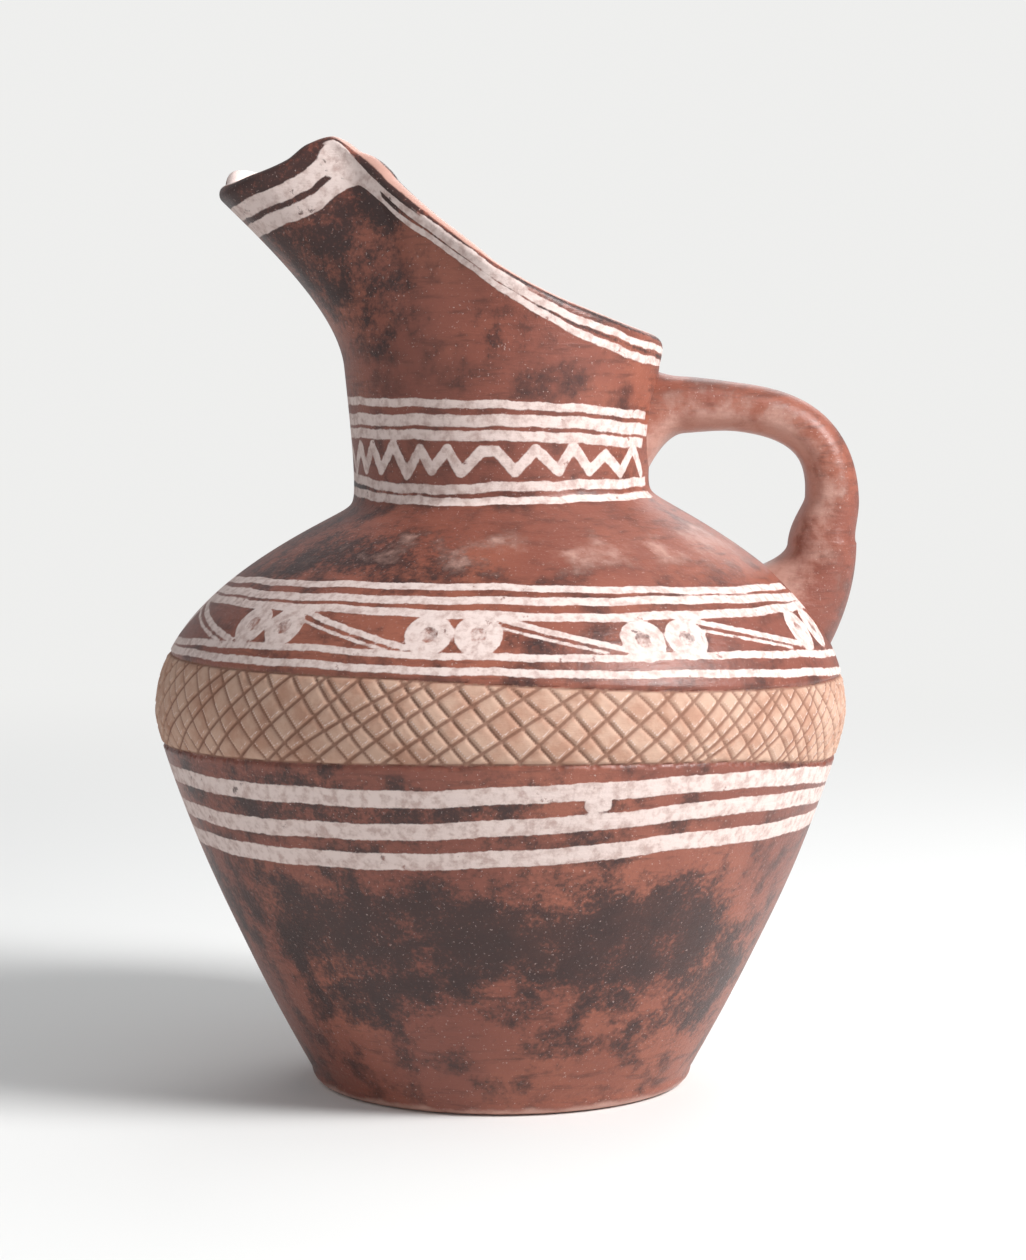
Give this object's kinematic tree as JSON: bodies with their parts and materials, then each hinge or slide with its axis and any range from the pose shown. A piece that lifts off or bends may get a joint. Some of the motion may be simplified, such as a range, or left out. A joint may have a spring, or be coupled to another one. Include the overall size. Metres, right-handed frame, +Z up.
{
  "type": "clay pouring jug",
  "caption": "Hand-built clay jug with a cut-away beak spout, a rounded belly and a single strap handle, standing on a flat base.",
  "frame": {"origin": "centre of the flat underside of the base", "axes": "+Z up, the spout points to -X and the handle stands at +X"},
  "size_m": [0.179, 0.176, 0.2398],
  "materials": {
    "slip_red": "burnished red-brown slip with cream painted bands",
    "slip_dark": "burnished red-brown slip with dark fire clouds and cream painted bands",
    "buff_clay": "bare matt clay with an incised lattice",
    "pale_clay": "worn slip over pinkish clay"
  },
  "bodies": {
    "root": {"base_disc": "slip_red", "lower_wall": "slip_dark", "belly_band": "buff_clay", "shoulder": "slip_red", "neck": "slip_red", "spout": "slip_dark", "handle": "pale_clay", "handle_upper_luting": "pale_clay", "handle_lower_luting": "pale_clay"}
  },
  "joints": []
}
